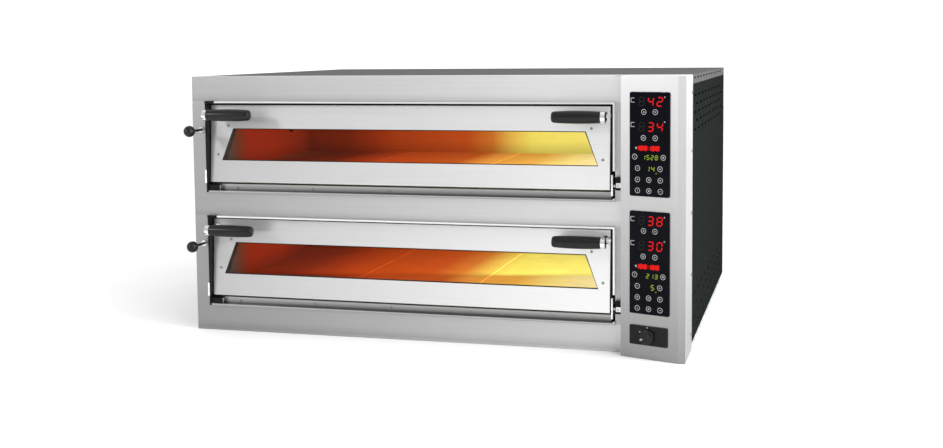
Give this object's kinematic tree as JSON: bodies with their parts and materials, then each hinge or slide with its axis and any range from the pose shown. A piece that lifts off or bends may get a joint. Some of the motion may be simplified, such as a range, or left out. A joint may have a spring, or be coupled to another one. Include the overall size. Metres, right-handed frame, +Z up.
{
  "type": "countertop pizza oven",
  "caption": "Double-deck electric pizza oven with drop-down window doors, twin barrel grips, pull dampers and a wedge-shaped touch control housing.",
  "frame": {"origin": "centre of the overall box at the underside of the base", "axes": "+X to the right seen from the front, +Y to the back, +Z up"},
  "size_m": [1.454, 1.335, 0.75],
  "materials": {
    "stainless": "fine brushed",
    "casing_paint": "satin powder coat",
    "cover_paint": "satin powder coat",
    "inner_steel": "galvanized",
    "liner_steel": "heat-tinted",
    "stone": "rough refractory",
    "heater_sheath": "oxidised",
    "mineral_wool": "fibrous",
    "window_frame": "matt",
    "door_glass": "clear heat-proof",
    "display_glass": "gloss",
    "black_plastic": "satin moulded",
    "chrome": "polished",
    "hinge_steel": "turned",
    "bracket_black": "satin",
    "screw_steel": "plain",
    "lamp_glass": "frosted",
    "circuit_board": "lacquered",
    "electric_plastic": "moulded"
  },
  "bodies": {
    "oven": {"front_fascia": "stainless", "control_housing": "stainless", "base_tray": "stainless", "lower_door_surround": "stainless", "upper_door_surround": "stainless", "lower_sill_strip": "stainless", "upper_sill_strip": "stainless", "left_side_panel": "casing_paint", "right_side_panel": "casing_paint", "rear_panel": "casing_paint", "top_cover": "cover_paint", "frame_posts": "inner_steel", "compartment_wall": "inner_steel", "lower_flue_duct": "inner_steel", "upper_flue_duct": "inner_steel", "lower_chamber_liner": "liner_steel", "upper_chamber_liner": "liner_steel", "lower_stone_slabs": "stone", "upper_stone_slabs": "stone", "lower_heating_elements": "heater_sheath", "upper_heating_elements": "heater_sheath", "thermocouple_probes": "heater_sheath", "insulation_decks": "mineral_wool", "insulation_walls": "mineral_wool", "lower_display_glass": "display_glass", "upper_display_glass": "display_glass", "switch_plate": "black_plastic", "bracket_nuts": "hinge_steel", "damper_bushes": "hinge_steel", "hinge_brackets": "bracket_black", "casing_screws": "screw_steel", "chamber_lamps": "lamp_glass", "control_boards": "circuit_board", "main_switch_body": "electric_plastic", "contactors": "electric_plastic", "terminal_block": "electric_plastic", "cooling_fan_frame": "electric_plastic", "cable_gland": "electric_plastic"},
    "lower_door": {"lower_door_panel": "stainless", "lower_door_liner": "liner_steel", "lower_door_window_frame": "window_frame", "lower_door_glass": "door_glass", "lower_door_shaft": "hinge_steel", "lower_door_grips": "black_plastic", "lower_door_handle_stems": "chrome", "lower_door_screws": "screw_steel"},
    "lower_damper": {"lower_damper_rod": "bracket_black", "lower_damper_knob": "black_plastic"},
    "upper_door": {"upper_door_panel": "stainless", "upper_door_liner": "liner_steel", "upper_door_window_frame": "window_frame", "upper_door_glass": "door_glass", "upper_door_shaft": "hinge_steel", "upper_door_grips": "black_plastic", "upper_door_handle_stems": "chrome", "upper_door_screws": "screw_steel"},
    "upper_damper": {"upper_damper_rod": "bracket_black", "upper_damper_knob": "black_plastic"},
    "main_switch": {"main_switch_knob": "black_plastic"},
    "cooling_fan": {"cooling_fan_rotor": "electric_plastic"}
  },
  "joints": [
    {"name": "lower_door_hinge", "type": "hinge", "parent": "oven", "child": "lower_door", "pos_m": [0, -0.5645, 0.1155], "axis": [1, 0, 0], "range_deg": [0, 90]},
    {"name": "lower_damper_slide", "type": "slide", "parent": "oven", "child": "lower_damper", "axis": [0, -1, 0], "range_m": [0, 0.06]},
    {"name": "upper_door_hinge", "type": "hinge", "parent": "oven", "child": "upper_door", "pos_m": [0, -0.5645, 0.4515], "axis": [1, 0, 0], "range_deg": [0, 90]},
    {"name": "upper_damper_slide", "type": "slide", "parent": "oven", "child": "upper_damper", "axis": [0, -1, 0], "range_m": [0, 0.06]},
    {"name": "main_switch_turn", "type": "hinge", "parent": "oven", "child": "main_switch", "pos_m": [0.62347, -0.63982, 0.061], "axis": [0.3215, 0.9469, 0], "range_deg": [0, 90]},
    {"name": "cooling_fan_spin", "type": "hinge", "parent": "oven", "child": "cooling_fan", "pos_m": [0.6365, 0.6175, 0.375], "axis": [0, 1, 0], "continuous": true}
  ]
}
